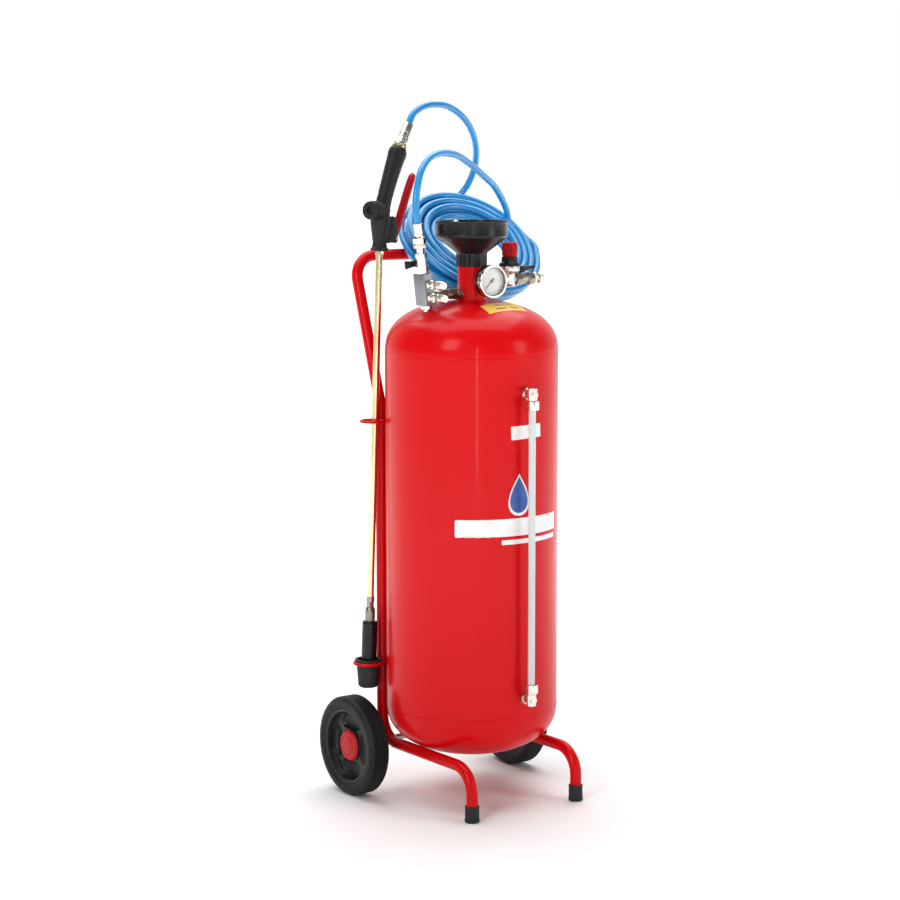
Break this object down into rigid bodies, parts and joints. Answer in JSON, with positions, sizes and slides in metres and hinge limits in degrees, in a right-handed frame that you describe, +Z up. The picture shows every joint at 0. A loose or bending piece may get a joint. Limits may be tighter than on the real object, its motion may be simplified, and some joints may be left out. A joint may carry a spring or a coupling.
{
  "type": "wheeled sprayer cart",
  "caption": "Upright pressure tank on a bent-tube wheeled frame, with filler funnel, air regulator row, outlet manifold, coiled hose and a trigger gun on a lance.",
  "frame": {"origin": "on the floor, at the middle of the cart's box seen from above, with the hose left out", "axes": "+Z up; the operator stands behind the cart at +Y, so the level gauge and the pressure gauge face -Y; +X is to the right of someone who looks at the gauges"},
  "size_m": [0.4433, 0.4624, 1.2119],
  "materials": {
    "red_paint": "glossy red powder coat with a light orange peel",
    "black_plastic": "semi-gloss moulded plastic, fine grain",
    "black_rubber": "matt moulded rubber",
    "tyre_rubber": "matt rubber, slightly dusty on the tread",
    "nickel": "bright nickel plate over brass",
    "brass_plate": "pale polished brass",
    "aluminium": "satin machined aluminium",
    "steel": "zinc-plated steel",
    "red_plastic": "glossy red moulded plastic",
    "blue_hose": "glossy soft polyurethane hose",
    "clear_tube": "milky translucent plastic tube",
    "clear_lens": "clear gauge window",
    "white_dial": "white enamelled dial"
  },
  "bodies": {
    "cart": {"tank_barrel": "red_paint", "top_dish": "red_paint", "bottom_dish": "red_paint", "filler_neck": "red_paint", "funnel": "black_plastic", "dip_tube": "steel", "safety_valve": "nickel", "frame_left": "red_paint", "frame_right": "red_paint", "push_handle": "red_paint", "axle": "steel", "foot_cap_left": "black_rubber", "foot_cap_right": "black_rubber", "cup_ring": "red_paint", "lance_cup": "black_rubber", "lance_ring": "red_paint", "level_fitting_top": "nickel", "level_fitting_bottom": "nickel", "level_nut_top": "nickel", "level_nut_bottom": "nickel", "level_tube": "clear_tube", "gauge_case": "black_plastic", "gauge_bezel": "nickel", "gauge_dial": "white_dial", "gauge_lens": "clear_lens", "regulator_body": "nickel", "regulator_bonnet": "black_plastic", "air_valve_body": "nickel", "air_plug": "nickel", "base_nut": "nickel", "outlet_block": "aluminium", "needle_body_upper": "nickel", "needle_body_lower": "nickel", "air_link": "nickel", "hose_valve_body": "nickel", "tank_union": "nickel", "hose_lead": "blue_hose", "hose_coil": "blue_hose"},
    "wheel_left": {"tyre_left": "tyre_rubber", "rim_left": "black_plastic", "hub_cap_left": "red_plastic"},
    "wheel_right": {"tyre_right": "tyre_rubber", "rim_right": "black_plastic", "hub_cap_right": "red_plastic"},
    "lance": {"gun_body": "black_plastic", "gun_plug": "black_plastic", "lance_tube": "brass_plate", "nozzle_sleeve": "black_plastic", "nozzle_fitting": "nickel", "gun_union": "nickel", "hose_tail": "blue_hose"},
    "trigger": {"gun_trigger": "red_plastic"},
    "filler_plug": {"filler_plug": "nickel"},
    "regulator_knob": {"regulator_knob": "red_plastic"},
    "air_lever": {"air_valve_lever": "black_plastic"},
    "hose_lever": {"hose_valve_lever": "black_plastic"},
    "needle_upper": {"needle_knob_upper": "nickel"},
    "needle_lower": {"needle_knob_lower": "nickel"},
    "gauge_needle": {"gauge_pointer": "black_plastic"}
  },
  "joints": [
    {"name": "wheel_left_turn", "type": "hinge", "parent": "cart", "child": "wheel_left", "pos_m": [-0.1753, 0.1003, 0.0877], "axis": [1, 0, 0], "continuous": true},
    {"name": "wheel_right_turn", "type": "hinge", "parent": "cart", "child": "wheel_right", "pos_m": [0.1753, 0.1003, 0.0877], "axis": [1, 0, 0], "continuous": true},
    {"name": "lance_lift", "type": "slide", "parent": "cart", "child": "lance", "axis": [0.028, -0.0152, 0.9995], "range_m": [0, 0.04]},
    {"name": "trigger_pull", "type": "hinge", "parent": "lance", "child": "trigger", "pos_m": [-0.08865, 0.10005, 0.97511], "axis": [0.4029, -0.9149, -0.025], "range_deg": [0, 12], "stiffness_Nm_per_rad": 3, "springref_deg": -17.19},
    {"name": "filler_plug_lift", "type": "slide", "parent": "cart", "child": "filler_plug", "axis": [0, 0, 1], "range_m": [0, 0.1]},
    {"name": "regulator_turn", "type": "hinge", "parent": "cart", "child": "regulator_knob", "pos_m": [0.0818, -0.01243, 0.944], "axis": [0, 0, -1], "range_deg": [0, 1530]},
    {"name": "air_lever_turn", "type": "hinge", "parent": "cart", "child": "air_lever", "pos_m": [0.1075, -0.01243, 0.9163], "axis": [0, 0, 1], "range_deg": [0, 90]},
    {"name": "hose_lever_turn", "type": "hinge", "parent": "cart", "child": "hose_lever", "pos_m": [-0.10433, 0.00287, 0.93692], "axis": [0, 1, 0], "range_deg": [0, 90]},
    {"name": "needle_upper_turn", "type": "hinge", "parent": "cart", "child": "needle_upper", "pos_m": [-0.10012, -0.01243, 0.9026], "axis": [0, -1, 0], "range_deg": [0, 1710]},
    {"name": "needle_lower_turn", "type": "hinge", "parent": "cart", "child": "needle_lower", "pos_m": [-0.09744, -0.01243, 0.88075], "axis": [0, -1, 0], "range_deg": [0, 1710]},
    {"name": "gauge_needle_turn", "type": "hinge", "parent": "cart", "child": "gauge_needle", "pos_m": [0, -0.06918, 0.9065], "axis": [0, 1, 0], "range_deg": [0, 270], "stiffness_Nm_per_rad": 0.001}
  ]
}
